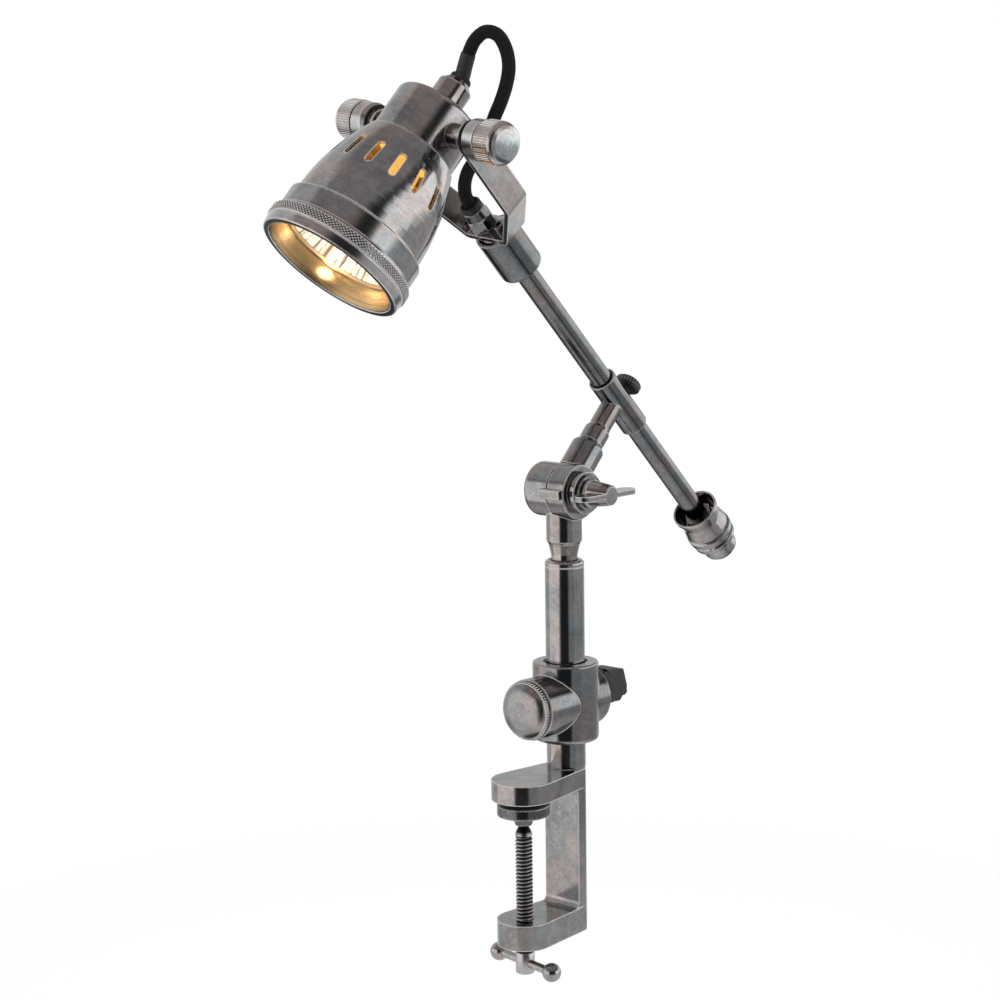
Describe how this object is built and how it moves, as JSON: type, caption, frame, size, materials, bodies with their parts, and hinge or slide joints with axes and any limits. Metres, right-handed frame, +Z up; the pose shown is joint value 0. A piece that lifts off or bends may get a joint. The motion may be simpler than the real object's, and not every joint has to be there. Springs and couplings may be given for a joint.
{
  "type": "swing arm desk lamp",
  "caption": "Clamp-on desk lamp: a screw clamp and post carry a friction knuckle, a sliding counterweighted arm and a pierced bell shade that tilts in a yoke.",
  "frame": {"origin": "on the clamp screw's axis, at the underside of the upper jaw, where the desk top's upper face touches", "axes": "+Z up along the post; the clamp's jaws open towards -Y and the lamp reaches over the desk that way; +X along the knuckle's bolt, towards the wing screw"},
  "size_m": [0.104, 0.2834, 0.4249],
  "materials": {
    "pewter": "aged nickel, brushed, darkened in the hollows and bright along worn edges",
    "dark_steel": "oiled dark steel",
    "black_plastic": "black moulded plastic",
    "black_rubber": "black rubber",
    "flex_cover": "black braided cotton",
    "gold_reflector": "gold anodised, turned",
    "lamp_mirror": "faceted dichroic reflector",
    "lamp_glass": "clear glass",
    "ceramic": "glazed steatite"
  },
  "bodies": {
    "base": {"clamp_frame": "pewter", "post_stud": "dark_steel", "post_tube": "pewter", "post_cap": "pewter", "switch_housing": "pewter", "switch_body": "black_plastic", "cord_grip": "black_plastic", "cord_grip_cap": "black_plastic"},
    "switch_knob": {"switch_knob": "pewter"},
    "pad": {"clamp_pad": "pewter", "pad_rubber": "black_rubber"},
    "clamp_screw": {"clamp_screw": "dark_steel"},
    "tommy_bar": {"tommy_bar": "pewter", "tommy_balls": "pewter"},
    "swivel": {"lower_knuckle": "pewter", "swivel_clip": "dark_steel"},
    "wing_screw": {"wing_screw": "pewter"},
    "link": {"upper_knuckle": "pewter", "stop_lug": "pewter", "stem": "pewter", "arm_sleeve": "pewter", "cone_washer": "pewter", "spring_washer": "dark_steel", "friction_disc": "black_rubber"},
    "sleeve_screw": {"sleeve_screw": "black_plastic"},
    "liner": {"sleeve_liner": "black_plastic"},
    "arm": {"arm_rod": "pewter", "counterweight": "pewter", "weight_nut": "dark_steel", "head_adapter": "pewter", "adapter_grub": "dark_steel", "yoke": "pewter", "yoke_screw": "dark_steel", "yoke_gland": "pewter", "yoke_grommet": "black_rubber", "flex": "flex_cover"},
    "head": {"socket_cup": "pewter", "tilt_pivots": "pewter", "head_gland": "pewter", "head_grommet": "black_rubber", "shade": "pewter", "bezel_ring": "pewter", "mouth_cone": "gold_reflector", "lamp_bowl": "lamp_mirror", "lamp_glass": "lamp_glass", "lamp_capsule": "lamp_glass", "lamp_base": "ceramic", "lamp_holder": "ceramic", "holder_screws": "dark_steel", "washer_right": "black_rubber", "washer_left": "black_rubber"},
    "knob_right": {"tilt_knob_right": "pewter"},
    "knob_left": {"tilt_knob_left": "pewter"}
  },
  "joints": [
    {"name": "pad_slide", "type": "slide", "parent": "base", "child": "pad", "axis": [0, 0, 1], "range_m": [-0.04, 0.002]},
    {"name": "screw_turn", "type": "hinge", "parent": "pad", "child": "clamp_screw", "pos_m": [0, 0, -0.07], "axis": [0, 0, 1], "range_deg": [-11520, 576]},
    {"name": "tommy_bar_slide", "type": "slide", "parent": "clamp_screw", "child": "tommy_bar", "axis": [0.9848, -0.1736, 0], "range_m": [-0.01, 0.01]},
    {"name": "switch_turn", "type": "hinge", "parent": "base", "child": "switch_knob", "pos_m": [0, 0.0045, 0.04], "axis": [0, -1, 0], "range_deg": [0, 270]},
    {"name": "post_swivel", "type": "hinge", "parent": "base", "child": "swivel", "pos_m": [0, 0.0305, 0.1057], "axis": [0, 0, 1], "range_deg": [-170, 170]},
    {"name": "wing_turn", "type": "hinge", "parent": "swivel", "child": "wing_screw", "pos_m": [0, 0.0305, 0.1374], "axis": [1, 0, 0], "range_deg": [-180, 180]},
    {"name": "knuckle", "type": "hinge", "parent": "swivel", "child": "link", "pos_m": [0, 0.0305, 0.1374], "axis": [1, 0, 0], "range_deg": [-40, 40]},
    {"name": "sleeve_screw_turn", "type": "hinge", "parent": "link", "child": "sleeve_screw", "pos_m": [0, 0.0756, 0.18001], "axis": [0, 0.7009, 0.7133], "range_deg": [-180, 180]},
    {"name": "arm_roll", "type": "hinge", "parent": "link", "child": "liner", "pos_m": [0, 0.06835, 0.17592], "axis": [0, -0.7133, 0.7009], "range_deg": [-170, 170]},
    {"name": "arm_slide", "type": "slide", "parent": "liner", "child": "arm", "axis": [0, -0.7133, 0.7009], "range_m": [-0.07, 0.06]},
    {"name": "head_tilt", "type": "hinge", "parent": "arm", "child": "head", "pos_m": [0, -0.05661, 0.29871], "axis": [0.986, -0.1169, -0.1189], "range_deg": [-70, 25], "deforming": ["flex"]},
    {"name": "right_knob_turn", "type": "hinge", "parent": "head", "child": "knob_right", "pos_m": [0.03451, -0.0607, 0.29455], "axis": [0.986, -0.1169, -0.1189], "range_deg": [-180, 180]},
    {"name": "left_knob_turn", "type": "hinge", "parent": "head", "child": "knob_left", "pos_m": [-0.03451, -0.05252, 0.30288], "axis": [0.986, -0.1169, -0.1189], "range_deg": [-180, 180]}
  ],
  "couplings": [
    {"joint": "screw_turn", "follows": "pad_slide", "rad_per_m": 5026.5}
  ]
}
